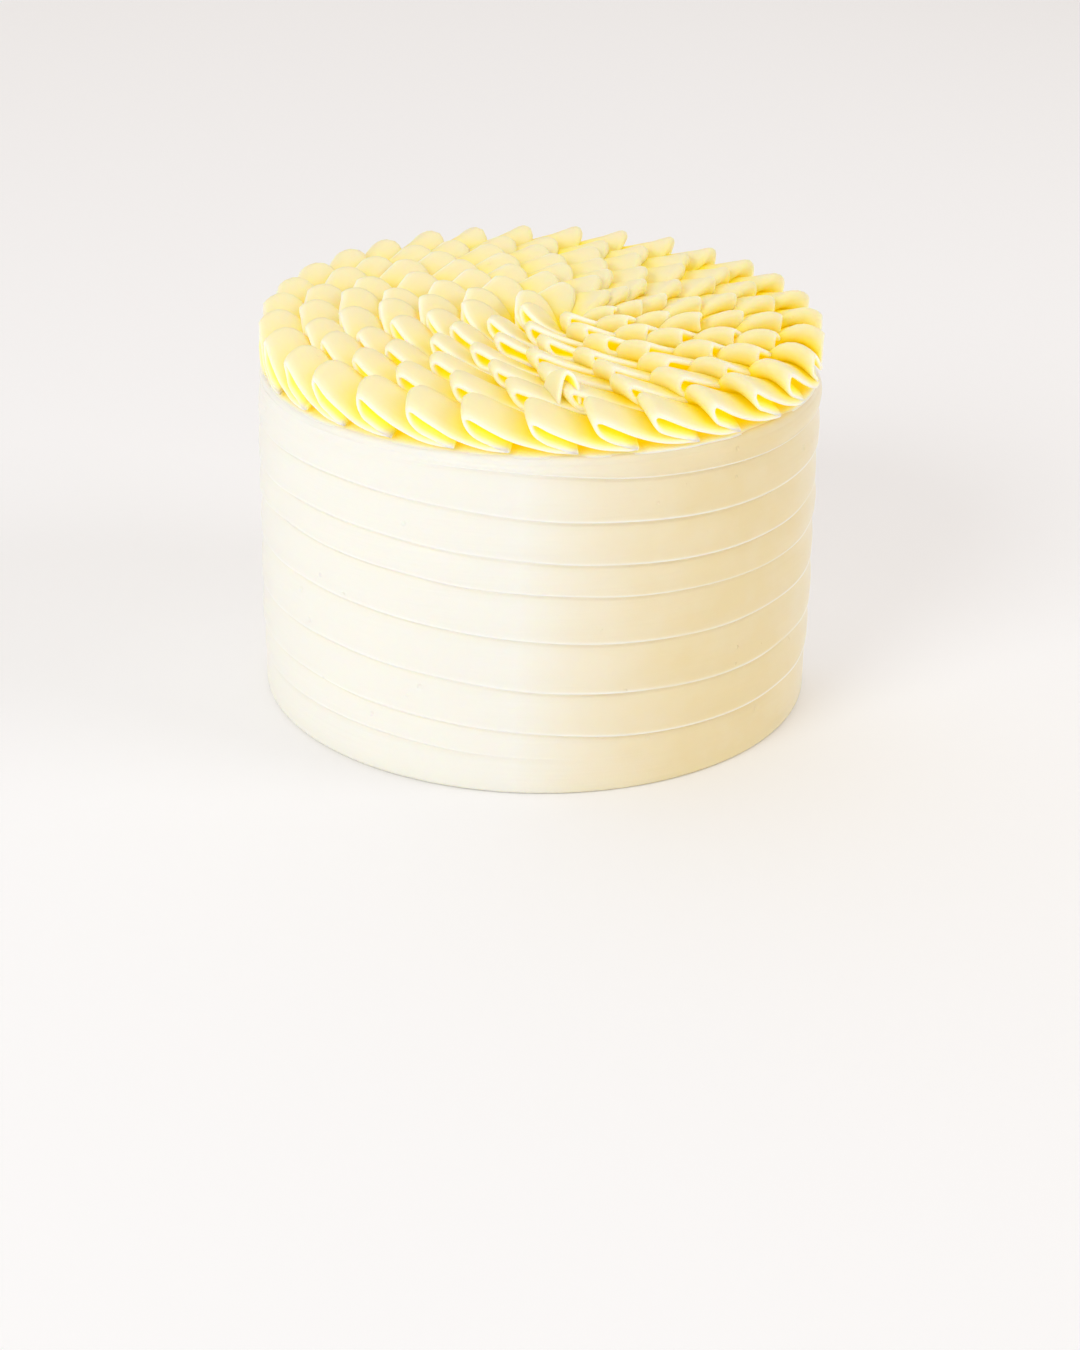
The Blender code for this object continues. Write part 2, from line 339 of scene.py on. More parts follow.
def hand_wave(draw, lowest, highest, size):
    """A smooth uneven line once round the cake, made of a few waves of chance size and phase."""
    line = np.zeros_like(around)
    for turns in range(lowest, highest + 1):
        share = draw.uniform(WAVE_LEAST, 1.0) / turns ** WAVE_FADE
        line += share * np.cos(turns * around + draw.uniform(0.0, math.tau))
    return line / np.abs(line).max() * size


def skin(name, rows, drag_rows):
    """A closed skin from rows of points, top row first. Its first and last rows close to a point."""
    sides = len(rows[0])
    points = [rows[0].mean(axis=0), *(point for row in rows for point in row), rows[-1].mean(axis=0)]
    last = len(points) - 1
    faces = []
    for k in range(sides):
        turned = (k + 1) % sides
        faces.append((0, 1 + k, 1 + turned))
        faces.append((last, last - sides + turned, last - sides + k))
    for i in range(len(rows) - 1):
        upper, lower = 1 + i * sides, 1 + (i + 1) * sides
        for k in range(sides):
            turned = (k + 1) % sides
            faces.append((upper + k, lower + k, lower + turned, upper + turned))
    mesh = bpy.data.meshes.new(name)
    mesh.from_pydata([tuple(map(float, point)) for point in points], [], faces)
    mesh.shade_smooth()
    drag_marks = mesh.attributes.new("drag", "FLOAT_VECTOR", "POINT")
    flat = [drag_rows[0][0]] + [value for row in drag_rows for value in row] + [drag_rows[-1][0]]
    drag_marks.data.foreach_set("vector", np.array(flat, dtype=np.float32).ravel())
    piece = bpy.data.objects.new(name, mesh)
    bpy.context.scene.collection.objects.link(piece)
    return piece


def keep_shares(piece, name, shares, sides=WALL_SIDES):
    """Keeps one share, or one line of shares round the row, for each row of a skin."""
    lines = [share + np.zeros(sides) for share in shares]
    spread = np.concatenate([lines[0][:1], *lines, lines[-1][:1]]).astype(np.float32)
    piece.data.attributes.new(name, "FLOAT", "POINT").data.foreach_set("value", spread)


def wall_at(height):
    """The radius of the plain wall, which leans in a little towards the rim."""
    return BASE_RADIUS + (RIM_RADIUS - BASE_RADIUS) * height / RIM_HEIGHT


def corner_row(radius, height, rounding, angle, drop=0.0):
    """One row of a rounded corner, whose middle is at a radius and a height."""
    return (
        radius + rounding * math.cos(angle) + drop * math.cos(angle) + plain_round,
        height + rounding * math.sin(angle) + plain_round,
    )


wander = (
    WANDER_ONCE * np.cos(around - WANDER_ONCE_PEAK)
    + WANDER_TWICE * np.cos(2 * (around - WANDER_TWICE_PEAK))
)
below_rim = RIM_HEIGHT - RIM_ROUNDING
lips, strengths = [], []
for lip in LIP_HEIGHTS:
    hold = min(1.0, (below_rim - lip) / (below_rim - LIP_HEIGHTS[0]), lip / LIP_HEIGHTS[-2])
    line = lip + wander * hold + hand_wave(wall_draw, lowest=3, highest=14, size=HAND_WAVER)
    room_above = below_rim - line
    lips.append(line + np.minimum(0.0, room_above - LIP_BELOW_RIM))
    hand_strength = LIP_STRENGTH + hand_wave(wall_draw, lowest=2, highest=22, size=LIP_UNEVEN)
    strengths.append(hand_strength * np.clip(room_above / LIP_BELOW_RIM, 0.0, 1.0))
off = np.angle(np.exp(1j * (around - FAINT_LIP_AT)))
strengths[-1] = FAINT_LIP_STRENGTH * np.exp(-(off / FAINT_LIP_SPREAD) ** 4)

wall_rows = [(RIM_RADIUS * share + plain_round, RIM_HEIGHT + plain_round) for share in TOP_SHARES]
rim_drop = hand_wave(wall_draw, lowest=3, highest=17, size=RIM_UNEVEN)
for step in range(RIM_CORNER_STEPS + 1):
    angle = math.radians(90 - 90 * step / RIM_CORNER_STEPS)
    wall_rows.append(corner_row(RIM_RADIUS - RIM_ROUNDING, below_rim, RIM_ROUNDING, angle, rim_drop))
painted_crease_shade, painted_lip_highlight = [0.0] * len(wall_rows), [0.0] * len(wall_rows)
top, top_strength = wall_rows[-1][1], plain_round
for lip, strength in zip(lips, strengths):
    for level in BAND_LEVELS:
        # Painted shade in the crease just under the lip above.
        painted_crease_shade.append(top_strength * max(0.0, 1.0 - level / PAINTED_CREASE_DOWN) * PAINTED_CREASE_SHARE)
        # Painted highlight along this band's lip, where it catches the light.
        painted_lip_highlight.append(strength * max(0.0, (level - LIP_HIGHLIGHT_FROM) / (1.0 - LIP_HIGHLIGHT_FROM)))
        z = top + (lip - top) * level
        swell = 1.0 - (1.0 - level) ** BAND_SWELL
        burr = max(0.0, (level - BURR_FROM) / (1.0 - BURR_FROM)) ** BURR_CURVE
        proud = LIP_PROUD * strength * swell - STEP_BACK * top_strength * (1.0 - swell)
        proud = proud + LIP_BURR * strength * burr
        proud = proud + BAND_BELLY * 4.0 * level * (1.0 - level) * np.minimum(strength, 1.0)
        wall_rows.append((wall_at(z) + proud, z))
    lip_proud = (LIP_PROUD + LIP_BURR) * strength
    for down, back in STEP_LINE:
        z = lip - STEP_HEIGHT * down
        # Painted shade down the step under the lip.
        painted_crease_shade.append(strength * down)
        # The painted highlight fades down the step.
        painted_lip_highlight.append(strength * max(0.0, 1.0 - down / LIP_HIGHLIGHT_DOWN))
        wall_rows.append((wall_at(z) + lip_proud - (lip_proud + STEP_BACK * strength) * back, z))
    top, top_strength = lip - STEP_HEIGHT, strength
for level in FOOT_LEVELS:
    # Painted shade that deepens towards the foot.
    painted_crease_shade.append(FOOT_SHADE * level ** 3)
    z = top + (FOOT_ROUNDING - top) * level
    wall_rows.append((wall_at(z) - STEP_BACK * top_strength * (1.0 - level) ** 2, z))
# The foot's corner and underside carry the full painted shade, where the cake meets the floor.
for step in range(1, FOOT_CORNER_STEPS + 1):
    painted_crease_shade.append(1.0)
    angle = math.radians(-90 * step / FOOT_CORNER_STEPS)
    wall_rows.append(corner_row(BASE_RADIUS - FOOT_ROUNDING, FOOT_ROUNDING, FOOT_ROUNDING, angle))
painted_crease_shade.append(1.0)
wall_rows.append((UNDERSIDE_RADIUS + plain_round, plain_round))
painted_lip_highlight += [0.0] * (len(wall_rows) - len(painted_lip_highlight))

points, drags = [], []
for radius, z in wall_rows:
    points.append(np.stack([radius * np.cos(around), radius * np.sin(around), z], axis=1))
    drags.append(np.stack([
        DRAG_ROUND * np.cos(around), DRAG_ROUND * np.sin(around), DRAG_DOWN * z + DRAG_IN * radius,
    ], axis=1))
side_icing = skin("side_icing", points, drags)
keep_shares(side_icing, "painted_crease_shade", painted_crease_shade)
keep_shares(side_icing, "painted_lip_highlight", painted_lip_highlight)

cream, cream_tree, cream_shader, cream_place = icing_material(
    "cream_buttercream", roughness=0.42, see_through=0.35, soak_depth=0.004, soak_colour=(1.0, 0.75, 0.4)
)
cream_marks = mark_surface(
    cream_tree, cream_shader, cream_place, bubble_size=0.0035, bubble_share=0.05, bump=0.9
)
cream_axes = cream_tree.nodes.new("ShaderNodeSeparateXYZ")
cream_tree.links.new(cream_place, cream_axes.inputs[0])
# Painted shade: the cream turns deeper towards the front right, where the side falls away from the lamps.
toward = (
    Amount(cream_axes.outputs["X"]) * (math.cos(PAINTED_SHADE_AT) / BASE_RADIUS)
    + Amount(cream_axes.outputs["Y"]) * (math.sin(PAINTED_SHADE_AT) / BASE_RADIUS)
)
patchy = 1.0 - PAINTED_SHADE_MOTTLE / 2 + PAINTED_SHADE_MOTTLE * Amount(cream_marks.outputs["Mottle"])
painted_side_shade = ((toward - (1.0 - PAINTED_SHADE_SPREAD)) / PAINTED_SHADE_SPREAD).held() * patchy
# Painted shade in the creases under the lips and at the foot.
shaded_lips = (surface_value(cream_tree, "painted_crease_shade") * LIP_SHADE).held()
# Painted highlight along each lip.
painted_lip_highlights = (surface_value(cream_tree, "painted_lip_highlight") * LIP_LIGHT).held()
cream_with_painted_side_shade = blended(cream_tree, painted_side_shade, CREAM_LIGHT, CREAM_PAINTED_SHADE)
cream_with_painted_crease_shade = blended(cream_tree, shaded_lips, cream_with_painted_side_shade, CREAM_PAINTED_CREASE_SHADE)
cream_with_painted_light = blended(cream_tree, painted_lip_highlights, cream_with_painted_crease_shade, CREAM_PAINTED_HIGHLIGHT)
cream_tree.links.new(cream_with_painted_light.socket, cream_shader.inputs["Base Color"])
side_icing.data.materials.append(cream)
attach(side_icing, "root")
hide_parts("iced_cake")


# Lemon bed
# A thin smear of lemon buttercream that the ruffles were piped onto. It shows as a ragged yellow edge past
# the tips of the outer ring and in the creases, which carry painted deep-yellow shade and a painted glow, as
# if light soaked through thin icing.

# The lemon's own colour, and deep yellow as painted shade for creases and covered faces.
LEMON_TOP, LEMON_PAINTED_SHADE = (0.95, 0.845, 0.53, 1.0), (0.96, 0.79, 0.012, 1.0)
# A pale colour for edges: a painted highlight along the ribbons' edges, and a real fade where the bed thins
# over the cream.
EDGE_PALE_AND_HIGHLIGHT, NO_GLOW = (1.0, 0.97, 0.86, 1.0), (0.0, 0.0, 0.0, 1.0)
# Painted glows for the creases, the hollow under faces and the edges.
DEEP_GLOW, HOLLOW_GLOW, EDGE_GLOW = (0.12, 0.09, 0.0, 1.0), (0.22, 0.18, 0.0, 1.0), (0.10, 0.10, 0.08, 1.0)

BED_RADIUS, BED_TOP, BED_MIDDLE, BED_UNEVEN = 0.0800, 0.0988, 0.1050, 0.0004
# How much of the painted glow of the hollows the covered bed gets.
BED_PAINTED_GLOW = 0.4
# Each row: share of the radius, height, how much painted deep-yellow shade and glow it has, and how pale it
# is, which also sets its painted edge glow.
BED_ROWS = (
    (0.05, BED_MIDDLE, 1.0, 0.0),
    (0.5, BED_MIDDLE, 1.0, 0.0),
    (0.78, BED_MIDDLE - 0.0004, 1.0, 0.0),
    (0.84, BED_MIDDLE - 0.0016, 1.0, 0.0),
    (0.90, BED_TOP, 1.0, 0.0),
    (0.94, BED_TOP, 0.9, 0.0),
    (0.965, BED_TOP - 0.0001, 0.7, 0.05),
    (0.98, BED_TOP - 0.0004, 0.5, 0.2),
    (0.992, BED_TOP - 0.0008, 0.3, 0.5),
    (1.0, BED_TOP - 0.0013, 0.1, 0.8),
    (0.996, BED_TOP - 0.0020, 0.0, 1.0),
    (0.97, BED_TOP - 0.0034, 0.0, 1.0),
    (0.5, BED_TOP - 0.0034, 0.0, 1.0),
)

bed_edge = BED_RADIUS + hand_wave(wall_draw, lowest=5, highest=40, size=BED_UNEVEN)
bed_points, bed_drags = [], []
for share, z, _, _ in BED_ROWS:
    radius = bed_edge * share
    bed_points.append(np.stack([radius * np.cos(around), radius * np.sin(around), z + plain_round], axis=1))
    bed_drags.append(np.stack([
        DRAG_ROUND * np.cos(around), DRAG_ROUND * np.sin(around), DRAG_IN * radius,
    ], axis=1))
lemon_bed = skin("lemon_bed", bed_points, bed_drags)
keep_shares(lemon_bed, "lemon_painted_shade", [painted_shade_share for _, _, painted_shade_share, _ in BED_ROWS])
keep_shares(lemon_bed, "edge", [edge_share for _, _, _, edge_share in BED_ROWS])
keep_shares(lemon_bed, "hollow", [BED_PAINTED_GLOW * painted_shade_share for _, _, painted_shade_share, _ in BED_ROWS])

lemon, lemon_tree, lemon_shader, lemon_place = icing_material(
    "lemon_buttercream", roughness=0.40, see_through=0.6, soak_depth=0.003, soak_colour=(1.0, 0.7, 0.15)
)
mark_surface(lemon_tree, lemon_shader, lemon_place, bubble_size=0.004, bubble_share=0.05, bump=0.5)
# Painted shade: deep yellow in creases and on covered faces.
lemon_painted_shade = surface_value(lemon_tree, "lemon_painted_shade")
painted_glow_hollow = surface_value(lemon_tree, "hollow")
edge = surface_value(lemon_tree, "edge")
lemon_colour = blended(lemon_tree, edge, blended(lemon_tree, lemon_painted_shade, LEMON_TOP, LEMON_PAINTED_SHADE), EDGE_PALE_AND_HIGHLIGHT)
lemon_tree.links.new(lemon_colour.socket, lemon_shader.inputs["Base Color"])
# Painted glow: emission in the creases, on the hollow under faces and along the pale edges, as if light
# soaked through thin icing; the icing gives off light of its own.
crease_glow = blended(lemon_tree, lemon_painted_shade, NO_GLOW, DEEP_GLOW)
lemon_glow = blended(lemon_tree, edge, blended(lemon_tree, painted_glow_hollow, crease_glow, HOLLOW_GLOW), EDGE_GLOW)
lemon_tree.links.new(lemon_glow.socket, lemon_shader.inputs["Emission Color"])
lemon_shader.inputs["Emission Strength"].default_value = 1.0
lemon_bed.data.materials.append(lemon)
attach(lemon_bed, "root")
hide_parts("lemon_ruffles")


# Piped ruffles
# Lemon buttercream from a petal nozzle, laid to and fro as a flat ribbon while the turntable went round. Each
# ring starts on the bed, climbs to a crest, turns over and runs back down to a tip under the next crest.

RIBBON_WIDTH, INNERMOST = 0.0158, 0.0012
# One ring's usual sizes: radii, heights and the ragged edge in metres, overlap, bow and lean in folds.
RING_SIZES = {
    "Folds": 30.0,
    "First crest": 0.0,
    "Inner radius": 0.066,
    "Outer radius": 0.082,
    "Overlap": 0.52,
    "Phase": 0.25,
    "Mouth": 0.07,
    "Droop": 2.0,
    "Crest inside": 0.104,
    "Crest middle": 0.114,
    "Crest outside": 0.110,
    "Tip inside": 0.1005,
    "Tip middle": 0.101,
    "Tip outside": 0.0995,
    "Bow": 0.22,
    "Lean": -0.3,
    "Back higher": 0.0046,
    "Fuller behind": 0.005,
    "Big folds": 0.0,
    "Uneven width": 0.25,
    "Uneven height": 0.12,
    "Uneven reach": 0.0012,
    "Ragged edge": 0.0008,
    "Centre x": 0.0,
    "Seed": 1.0,
}
OUTER_RING = {
    "Crest inside": 0.1050, "Crest middle": 0.1135, "Tip inside": 0.1020, "Tip middle": 0.1040,
}
INNER_RING = {
    "Crest inside": 0.1040, "Crest middle": 0.1134, "Tip inside": 0.1020, "Tip middle": 0.1052,
    "Back higher": 0.0030, "Mouth": 0.10, "Droop": 1.8, "Thickness": 0.0022, "Bow": 0.30,
    "Uneven width": 0.5, "Uneven height": 0.2,
}
# Each ring: outer radius, folds, first crest, big folds, centre x, and the outer height of crest and tip.
RINGS = (
    (0.0809, 31.0, math.radians(-81.0), 0.0, 0.0004, 0.1113, 0.0990),
    (0.0689, 27.0, math.radians(-86.0), 0.04, 0.0, 0.1135, 0.1045),
    (0.0578, 22.0, math.radians(-89.2), 0.04, 0.0, 0.1145, 0.1060),
    (0.0462, 18.0, math.radians(-75.0), 0.04, 0.0, 0.1152, 0.1072),
    (0.0361, 15.0, math.radians(-90.0), 0.04, 0.001, 0.1156, 0.1080),
    (0.0260, 11.0, math.radians(-73.6), 0.04, 0.003, 0.1158, 0.1085),
    (0.0150, 6.0, math.radians(-95.0), 0.0, 0.0075, 0.1160, 0.1085),
)
SEED_STEP = 3.7

# Chance from fold to fold, along the edge, and in the torn rim: steps for each fold, and what the seed gains.
FOLD_CHANCE, EDGE_CHANCE, TORN_CHANCE = (0.9, 0.0), (2.6, 7.0), (11.0, 13.0)
TORN_FROM_EDGE, TORN_UPWARDS = 8.0, 0.7
OVERLAP_UNEVEN, LEAN_UNEVEN, REACH_JAG, HEIGHT_TWIST = 0.5, 0.2, 0.35, 0.3
# The sheet that turns back under each crest, and how the far side of the ring differs from the front.
UNDER_SHEET_AT, UNDER_SHEET_POWER = 0.655, 6.0
EASED_BEHIND, FOOT_SLOPE, INSIDE_SLOPE, FULLER_TO_EDGE = 0.7, 0.8, 0.4, 6.0
# The ribbon's rounded edges, the small step that finds its facing, and its drag marks.
EDGE_SQUARENESS, NEARLY_NONE, NEARBY = 0.5, 0.001, 0.002
DRAG_ALONG, DRAG_ACROSS, DRAG_THROUGH = 0.8, 14.0, 1.5
# Painted shade: deep yellow lies on the under face, where the next fold covers this one, and at the ring's
# inner end.
FACE_CHANGE, FACE_MIDDLE = 1.4, 0.5
COVERED_AT, COVERED_POWER, COVERED_SHARE = 0.17, 3.0, 1.8
BENEATH_AT, BENEATH_POWER = 0.55, 6.0
INNER_END, INNER_END_SPREAD, INNER_END_SHARE = 0.42, 0.25, 0.9
# How narrow the pale outer edge of each ribbon is, a painted highlight.
PAINTED_EDGE_HIGHLIGHT_POWER = 10.0

ribbon_point = bpy.data.node_groups.new("Ribbon point", "GeometryNodeTree")
size_sockets = {name: ("Float", usual) for name, usual in RING_SIZES.items()}
ribbon_in = group_inputs(ribbon_point, {"Turn": ("Float", 0.0), "Across": ("Float", 0.5)} | size_sockets)
ribbon_point.interface.new_socket(name="Point", in_out="OUTPUT", socket_type="NodeSocketVector")
ribbon_out = ribbon_point.nodes.new("NodeGroupOutput")
given = {slot.name: Amount(slot) for slot in ribbon_in.outputs if slot.name}


def arch(across, inner, middle, outer):
    """A smooth line through three values, at the ribbon's inner edge, its middle and its outer edge."""
    return (
        inner * (1.0 - across) * (1.0 - 2.0 * across)
        + middle * 4.0 * across * (1.0 - across)
        + outer * across * (2.0 * across - 1.0)
    )


def near_turn(turn, at, power):
    """A share that is 1 at one point of each fold and falls smoothly away from it."""
    return (0.5 + 0.5 * (math.tau * (turn - at)).cosine()) ** power


def chance_round(tree, turn, folds, seed, chance):
    """Three chance amounts, from about -0.5 to 0.5, that change smoothly round the ring and meet again."""
    steps, seed_gain = chance
    at = math.tau * turn / folds
    reach = folds * (steps / math.tau)
    place = tree.nodes.new("ShaderNodeCombineXYZ")
    join(reach * at.cosine(), place.inputs["X"])
    join(reach * at.sine(), place.inputs["Y"])
    noise = tree.nodes.new("ShaderNodeTexNoise")
    noise.noise_dimensions = "4D"
    tree.links.new(place.outputs[0], noise.inputs["Vector"])
    join(seed + seed_gain, noise.inputs["W"])
    noise.inputs["Scale"].default_value = 1.0
    noise.inputs["Detail"].default_value = 0.0
    parted = tree.nodes.new("ShaderNodeSeparateXYZ")
    tree.links.new(noise.outputs[1], parted.inputs[0])
    return [Amount(slot) - 0.5 for slot in parted.outputs]


turn, across, folds = given["Turn"], given["Across"], given["Folds"]
wide, tall, far = chance_round(ribbon_point, turn, folds, given["Seed"], FOLD_CHANCE)
lean, jag, twist = chance_round(ribbon_point, turn, folds, given["Seed"], EDGE_CHANCE)
rag, torn, _ = chance_round(ribbon_point, turn, folds, given["Seed"], TORN_CHANCE)
ragged = given["Ragged edge"] * across ** TORN_FROM_EDGE
under_sheet = near_turn(turn, UNDER_SHEET_AT, UNDER_SHEET_POWER)
rise = 0.5 - 0.5 * (math.tau * (turn - given["Phase"] - given["Mouth"] * under_sheet)).cosine()
behind = 0.5 + 0.5 * (given["First crest"] + math.tau * turn / folds).sine()
lift = rise ** (1.0 + (given["Droop"] - 1.0 - EASED_BEHIND * behind) * across * across)
bow = given["Bow"] * (1.0 - (2.0 * across - 1.0) ** 2.0) * lift
along = (
    turn
    + given["Overlap"] * (1.0 + OVERLAP_UNEVEN * tall) * (math.tau * turn).sine()
    + given["Uneven width"] * wide
    - bow
    + (given["Lean"] * (1.0 - behind) + LEAN_UNEVEN * lean) * (across - 0.5) * lift
)
plain_angle = given["First crest"] + math.tau * along / folds
angle = plain_angle - given["Big folds"] * plain_angle.sine()
distance = (
    given["Inner radius"]
    + (given["Outer radius"] - given["Inner radius"]) * across
    + given["Uneven reach"] * (far + REACH_JAG * jag) * across * across
    + rag * ragged
)
slope = given["Back higher"] * angle.sine() * distance / BASE_RADIUS
fuller = given["Fuller behind"] * behind * behind * (1.0 - across ** FULLER_TO_EDGE)
low = (
    arch(across, given["Tip inside"], given["Tip middle"], given["Tip outside"])
    + FOOT_SLOPE * slope * (1.0 - across * across)
    + fuller
)
high = (
    arch(across, given["Crest inside"], given["Crest middle"], given["Crest outside"])
    + slope * (INSIDE_SLOPE + (1.0 - INSIDE_SLOPE) * across)
)
height = (
    low
    + (high - low) * lift * (1.0 + given["Uneven height"] * (tall + HEIGHT_TWIST * twist))
    + TORN_UPWARDS * torn * ragged
)
point = ribbon_point.nodes.new("ShaderNodeCombineXYZ")
join(distance * angle.cosine() + given["Centre x"], point.inputs["X"])
join(distance * angle.sine(), point.inputs["Y"])
join(height, point.inputs["Z"])
ribbon_point.links.new(point.outputs[0], ribbon_out.inputs["Point"])

ruffle_ring = bpy.data.node_groups.new("Ruffle ring", "GeometryNodeTree")
ring_in = group_inputs(
    ruffle_ring,
    {
        "Geometry": ("Geometry", None),
        "Points per fold": ("Int", 36),
        "Points round": ("Int", 24),
        "Thickness": ("Float", 0.0019),
        "Material": ("Material", None),
    } | size_sockets,
)
ruffle_ring.interface.new_socket(name="Geometry", in_out="OUTPUT", socket_type="NodeSocketGeometry")
ring_out = ruffle_ring.nodes.new("NodeGroupOutput")
ring = {slot.name: Amount(slot) for slot in ring_in.outputs if slot.name}

path = ruffle_ring.nodes.new("GeometryNodeCurvePrimitiveCircle")
join(ring["Folds"] * ring["Points per fold"], path.inputs["Resolution"])
outline = ruffle_ring.nodes.new("GeometryNodeCurvePrimitiveCircle")
join(ring["Points round"], outline.inputs["Resolution"])
hoop = ruffle_ring.nodes.new("GeometryNodeCurveToMesh")
ruffle_ring.links.new(path.outputs["Curve"], hoop.inputs["Curve"])
ruffle_ring.links.new(outline.outputs["Curve"], hoop.inputs["Profile Curve"])
count = Amount(ruffle_ring.nodes.new("GeometryNodeInputIndex").outputs[0])
row = ((count + 0.5) / ring["Points round"]).whole()
column = count - row * ring["Points round"]
ring_turn = row / ring["Points per fold"]
round_edge = math.tau * column / ring["Points round"]
ring_across = 0.5 - 0.5 * round_edge.cosine()
side = round_edge.sine() / (round_edge.sine().size() + NEARLY_NONE) ** EDGE_SQUARENESS


def at_ribbon(turn, across):
    """The point of the ribbon's middle sheet at a turn and a share of its width."""
    node = ruffle_ring.nodes.new("GeometryNodeGroup")
    node.node_tree = ribbon_point
    join(turn, node.inputs["Turn"])
    join(across, node.inputs["Across"])
    for name in RING_SIZES:
        join(ring[name], node.inputs[name])
    return node.outputs["Point"]


def vector_reckon(operation, *sockets):
    """A Vector Math node of the ring's tree."""
    node = ruffle_ring.nodes.new("ShaderNodeVectorMath")
    node.operation = operation
    for slot, socket in zip(node.inputs, sockets):
        ruffle_ring.links.new(socket, slot)
    return node.outputs[0]


middle = at_ribbon(ring_turn, ring_across)
ahead = at_ribbon(ring_turn + NEARBY, ring_across)
outer = at_ribbon(ring_turn, ring_across + NEARBY)
facing = vector_reckon(
    "NORMALIZE",
    vector_reckon(
        "CROSS_PRODUCT", vector_reckon("SUBTRACT", ahead, middle), vector_reckon("SUBTRACT", outer, middle)
    ),
)
shift = ruffle_ring.nodes.new("ShaderNodeVectorMath")
shift.operation = "SCALE"
ruffle_ring.links.new(facing, shift.inputs[0])
join(ring["Thickness"] * -0.5 * side, shift.inputs["Scale"])
laid = ruffle_ring.nodes.new("GeometryNodeSetPosition")
ruffle_ring.links.new(hoop.outputs["Mesh"], laid.inputs["Geometry"])
ruffle_ring.links.new(vector_reckon("ADD", middle, shift.outputs[0]), laid.inputs["Position"])


def keep_on_surface(geometry, name, kind, value):
    """Keeps a value on the ring's points for the icing's material."""
    node = ruffle_ring.nodes.new("GeometryNodeStoreNamedAttribute")
    node.data_type = kind
    node.domain = "POINT"
    node.inputs["Name"].default_value = name
    ruffle_ring.links.new(geometry, node.inputs["Geometry"])
    ruffle_ring.links.new(value, node.inputs["Value"])
    return node.outputs[0]


drag_point = ruffle_ring.nodes.new("ShaderNodeCombineXYZ")
join(ring_turn * DRAG_ALONG, drag_point.inputs["X"])
join(ring_across * DRAG_ACROSS, drag_point.inputs["Y"])
join(side * DRAG_THROUGH, drag_point.inputs["Z"])
# Painted shade: deep yellow on the under face, at two points of each fold where it lies covered, and at the
# ring's inner end.
ring_painted_shade = (
    (FACE_MIDDLE - FACE_CHANGE * side).held()
    + COVERED_SHARE * near_turn(ring_turn, COVERED_AT, COVERED_POWER)
    + near_turn(ring_turn, BENEATH_AT, BENEATH_POWER)
    + INNER_END_SHARE * ((INNER_END - ring_across) / INNER_END_SPREAD).held()
)
# Painted glow on the under face.
ring_painted_glow_hollow = -FACE_CHANGE * side
# Painted highlight: a pale strip along the ribbon's outer edge.
ring_painted_edge_highlight = (2.0 * ring_across - 1.0).held() ** PAINTED_EDGE_HIGHLIGHT_POWER
marked = keep_on_surface(laid.outputs[0], "drag", "FLOAT_VECTOR", drag_point.outputs[0])
marked = keep_on_surface(marked, "lemon_painted_shade", "FLOAT", ring_painted_shade.held().socket)
marked = keep_on_surface(marked, "hollow", "FLOAT", ring_painted_glow_hollow.held().socket)
marked = keep_on_surface(marked, "edge", "FLOAT", ring_painted_edge_highlight.socket)
smooth = ruffle_ring.nodes.new("GeometryNodeSetShadeSmooth")
ruffle_ring.links.new(marked, smooth.inputs["Geometry"])
real = ruffle_ring.nodes.new("GeometryNodeRealizeInstances")
ruffle_ring.links.new(smooth.outputs[0], real.inputs["Geometry"])
iced = ruffle_ring.nodes.new("GeometryNodeSetMaterial")
ruffle_ring.links.new(real.outputs[0], iced.inputs["Geometry"])
ruffle_ring.links.new(ring_in.outputs["Material"], iced.inputs["Material"])
ruffle_ring.links.new(iced.outputs[0], ring_out.inputs["Geometry"])


def piped_ring(name, sizes):
    """One ring of folds, made by the ring's node tree and kept as a plain mesh."""
    piece = bpy.data.objects.new(name, bpy.data.meshes.new(name))
    bpy.context.scene.collection.objects.link(piece)
    shape = piece.modifiers.new("Shape", "NODES")
    shape.node_group = ruffle_ring
    sockets = ruffle_ring.interface.items_tree
    places = {item.name: item.identifier for item in sockets if item.in_out == "INPUT"}
    shape[places["Material"]] = lemon
    for words, value in sizes.items():
        shape[places[words]] = value
    graph = bpy.context.evaluated_depsgraph_get()
    mesh = bpy.data.meshes.new_from_object(piece.evaluated_get(graph))
    piece.modifiers.clear()
    piece.data = mesh
    mesh.name = name
    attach(piece, "root")
    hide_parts("lemon_ruffles")


for number, ring_row in enumerate(RINGS, start=1):
    outer_radius, fold_count, first_crest, big_folds, centre_x, crest_outside, tip_outside = ring_row
    piped_ring(f"ruffle_ring_{number}", (OUTER_RING if number == 1 else INNER_RING) | {
        "Folds": fold_count,
        "First crest": first_crest,
        "Outer radius": outer_radius,
        "Inner radius": max(INNERMOST, outer_radius - RIBBON_WIDTH),
        "Big folds": big_folds,
        "Centre x": centre_x,
        "Crest outside": crest_outside,
        "Tip outside": tip_outside,
        "Seed": SEED_STEP * number,
    })


# Standing loop
# One fold of the second ring stands upright at the front, where the nozzle was lifted and the ring was
# joined: a narrow hoop of ribbon on its edge, open through the middle.

LOOP_AT, LOOP_RADIUS, LOOP_DEPTH = math.radians(-83.9), 0.0682, 0.0085
LOOP_FOOT, LOOP_TOP, LOOP_THICKNESS = 0.1050, 0.1164, 0.0017
LOOP_LEFT, LOOP_RIGHT, LOOP_SWEEP = 0.0020, 0.0036, 0.0040
LOOP_ROUND, LOOP_DIP, LOOP_DIP_CURVE = 0.8, 0.0035, 1.5
LOOP_STEPS, LOOP_SIDES = 30, 24
LOOP_FACE_MIDDLE = 0.4
NEXT_STEP, NEXT_ACROSS = 0.004, 0.01


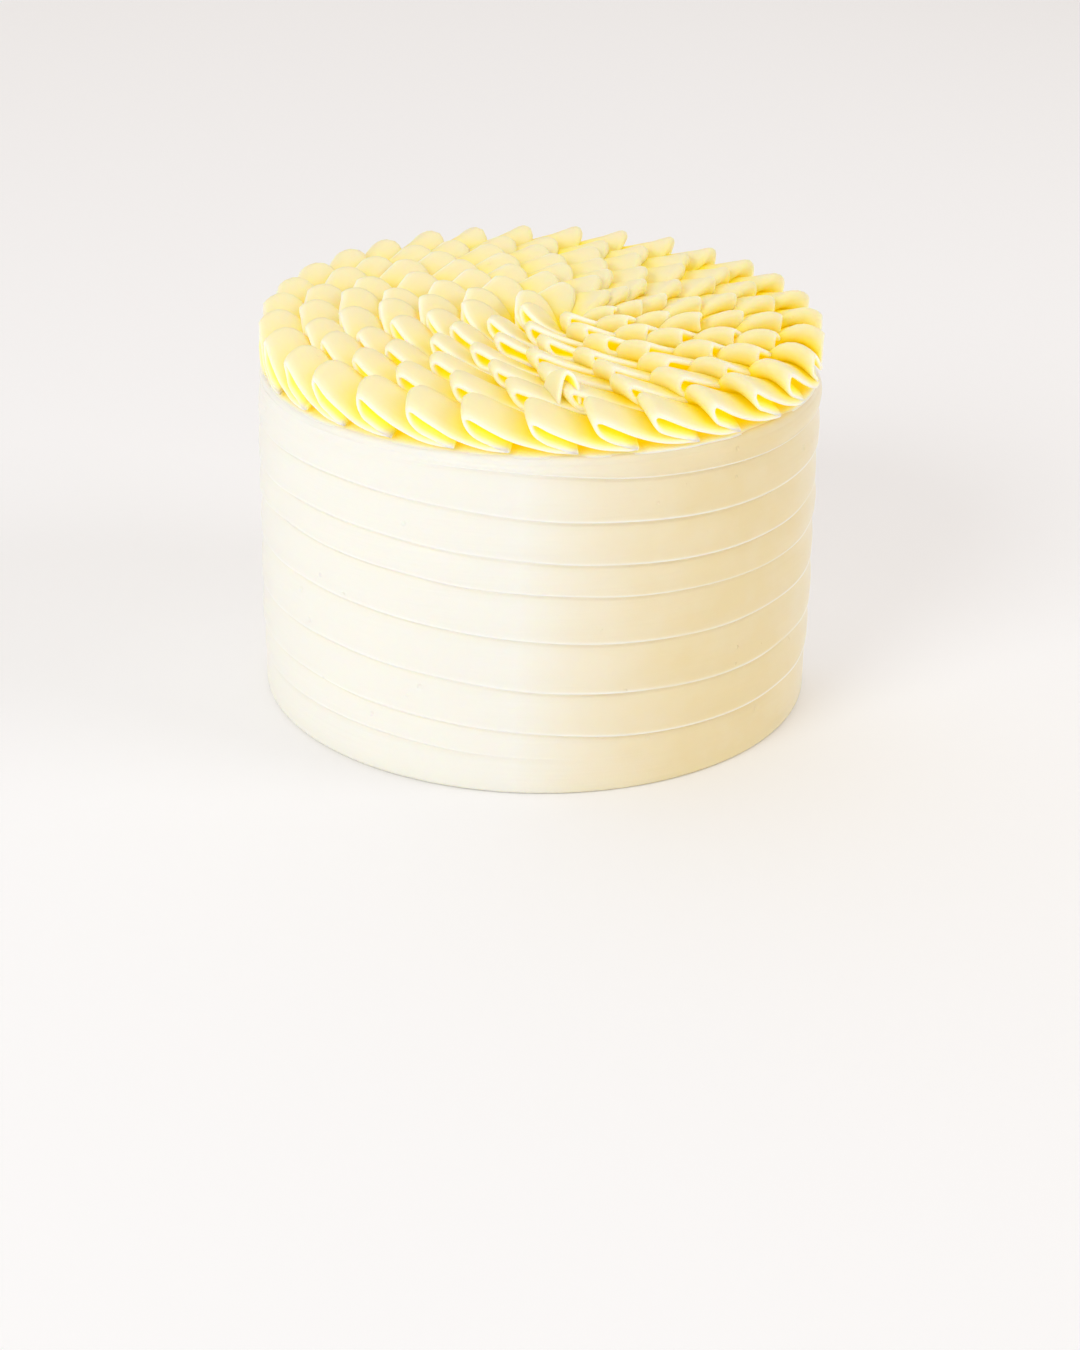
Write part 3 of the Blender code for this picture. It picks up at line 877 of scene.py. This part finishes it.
def loop_point(step, across):
    """The middle of the hoop's ribbon, from its left foot over the top to its right foot."""
    swing = math.pi * step
    reach = LOOP_LEFT if step < 0.5 else LOOP_RIGHT
    along = LOOP_AT + (-reach * math.cos(swing) - LOOP_SWEEP * across) / LOOP_RADIUS
    radius = LOOP_RADIUS - LOOP_DEPTH * across
    top_here = LOOP_TOP - LOOP_DIP * across ** LOOP_DIP_CURVE
    climb = math.sin(swing) ** LOOP_ROUND
    z = LOOP_FOOT + (top_here - LOOP_FOOT) * climb
    return np.array([radius * math.cos(along), radius * math.sin(along), z])


loop_round = np.linspace(0.0, math.tau, LOOP_SIDES, endpoint=False)
loop_across = 0.5 - 0.5 * np.cos(loop_round)
loop_bulge = np.sin(loop_round) / (np.abs(np.sin(loop_round)) + NEARLY_NONE) ** EDGE_SQUARENESS
loop_rows, loop_drags = [], []
for step in np.linspace(0.0, 1.0, LOOP_STEPS):
    row_points, row_drags = [], []
    for across_here, bulge in zip(loop_across, loop_bulge):
        before, after = max(0.0, step - NEXT_STEP), min(1.0, step + NEXT_STEP)
        nearer = across_here - NEXT_ACROSS * (across_here > NEXT_ACROSS)
        up_loop = loop_point(after, across_here) - loop_point(before, across_here)
        inwards = loop_point(step, across_here + NEXT_ACROSS) - loop_point(step, nearer)
        out = np.cross(up_loop, inwards)
        half_thick = out / np.linalg.norm(out) * bulge * LOOP_THICKNESS / 2
        row_points.append(loop_point(step, across_here) + half_thick)
        row_drags.append((DRAG_ALONG * step, DRAG_ACROSS * across_here, DRAG_THROUGH * bulge))
    loop_rows.append(np.array(row_points))
    loop_drags.append(np.array(row_drags))
standing_loop = skin("standing_loop", loop_rows, loop_drags)
# The hoop carries the same painted shade and painted glow on its under face, and pale edges as painted
# highlight.
loop_shares = {
    "lemon_painted_shade": np.clip(LOOP_FACE_MIDDLE - FACE_CHANGE * np.sin(loop_round), 0.0, 1.0),
    "hollow": np.clip(-FACE_CHANGE * np.sin(loop_round), 0.0, 1.0),
    "edge": np.abs(2.0 * loop_across - 1.0) ** PAINTED_EDGE_HIGHLIGHT_POWER,
}
for share_name, shares in loop_shares.items():
    keep_shares(standing_loop, share_name, [shares] * LOOP_STEPS, LOOP_SIDES)
standing_loop.data.materials.append(lemon)
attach(standing_loop, "root")
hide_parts("lemon_ruffles")
